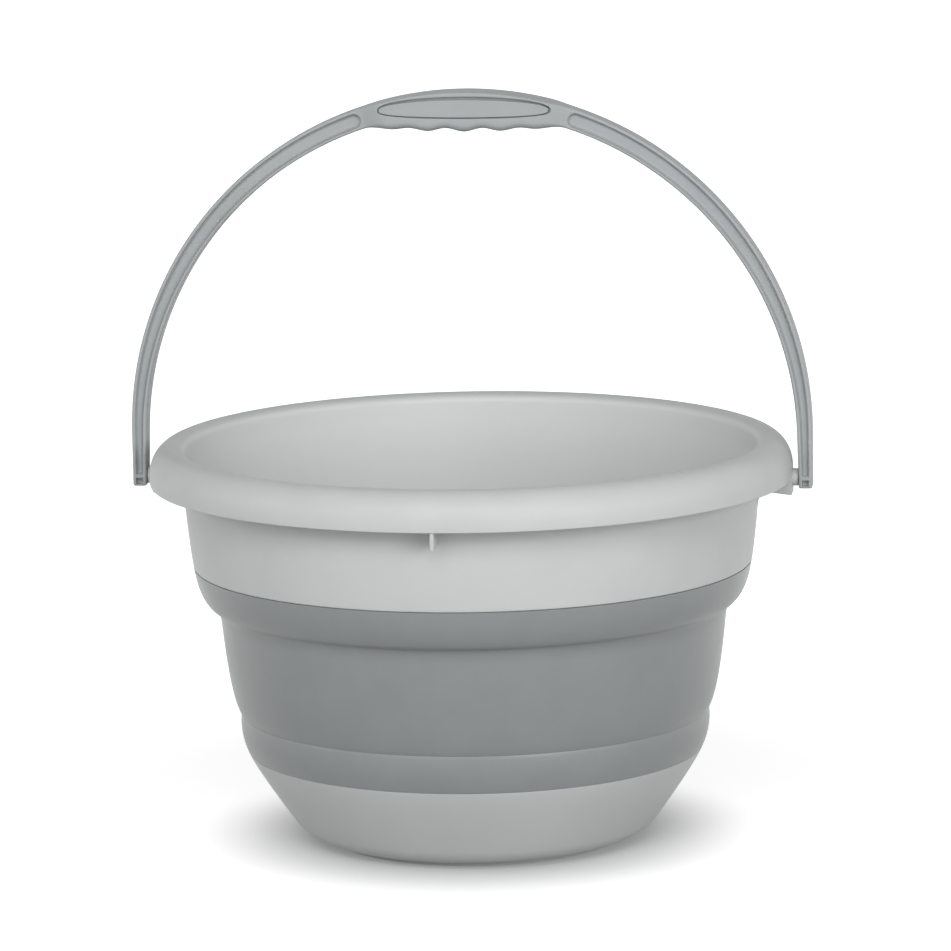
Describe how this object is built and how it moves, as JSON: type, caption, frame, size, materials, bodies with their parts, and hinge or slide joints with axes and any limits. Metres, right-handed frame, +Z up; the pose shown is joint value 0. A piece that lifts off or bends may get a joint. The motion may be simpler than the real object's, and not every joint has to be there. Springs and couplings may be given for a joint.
{
  "type": "folding bucket",
  "caption": "Round bucket with a stiff flanged rim, a soft stepped wall that folds flat on a bowl-shaped base, and a swinging bail handle with a scalloped grip.",
  "frame": {"origin": "centre of the foot ring's underside, on the ground", "axes": "+Z up along the bucket's axis, X through both bail pivots, -Y the front"},
  "size_m": [0.3394, 0.3194, 0.3732],
  "materials": {
    "base_plastic": "satin moulded polypropylene, light grey",
    "rim_plastic": "satin moulded polypropylene, light grey",
    "bail_plastic": "satin moulded polypropylene, mid grey",
    "inlay_plastic": "matt moulded plastic, mid grey",
    "fold_rubber": "matt thermoplastic rubber, dark grey"
  },
  "bodies": {
    "base": {"base_shell": "base_plastic", "lower_band": "fold_rubber", "middle_band": "fold_rubber"},
    "waist": {"waist_ring": "fold_rubber", "upper_band": "fold_rubber"},
    "rim": {"rim_ring": "rim_plastic"},
    "bail": {"bail": "bail_plastic", "grip_inlay_front": "inlay_plastic", "grip_inlay_back": "inlay_plastic"}
  },
  "joints": [
    {"name": "lower_fold", "type": "slide", "parent": "base", "child": "waist", "axis": [0, 0, -1], "range_m": [0, 0.09], "deforming": ["middle_band"]},
    {"name": "upper_fold", "type": "slide", "parent": "waist", "child": "rim", "axis": [0, 0, -1], "range_m": [0, 0.04], "deforming": ["upper_band"]},
    {"name": "bail_swing", "type": "hinge", "parent": "rim", "child": "bail", "pos_m": [0, 0, 0.181], "axis": [1, 0, 0], "range_deg": [-100, 100]}
  ]
}
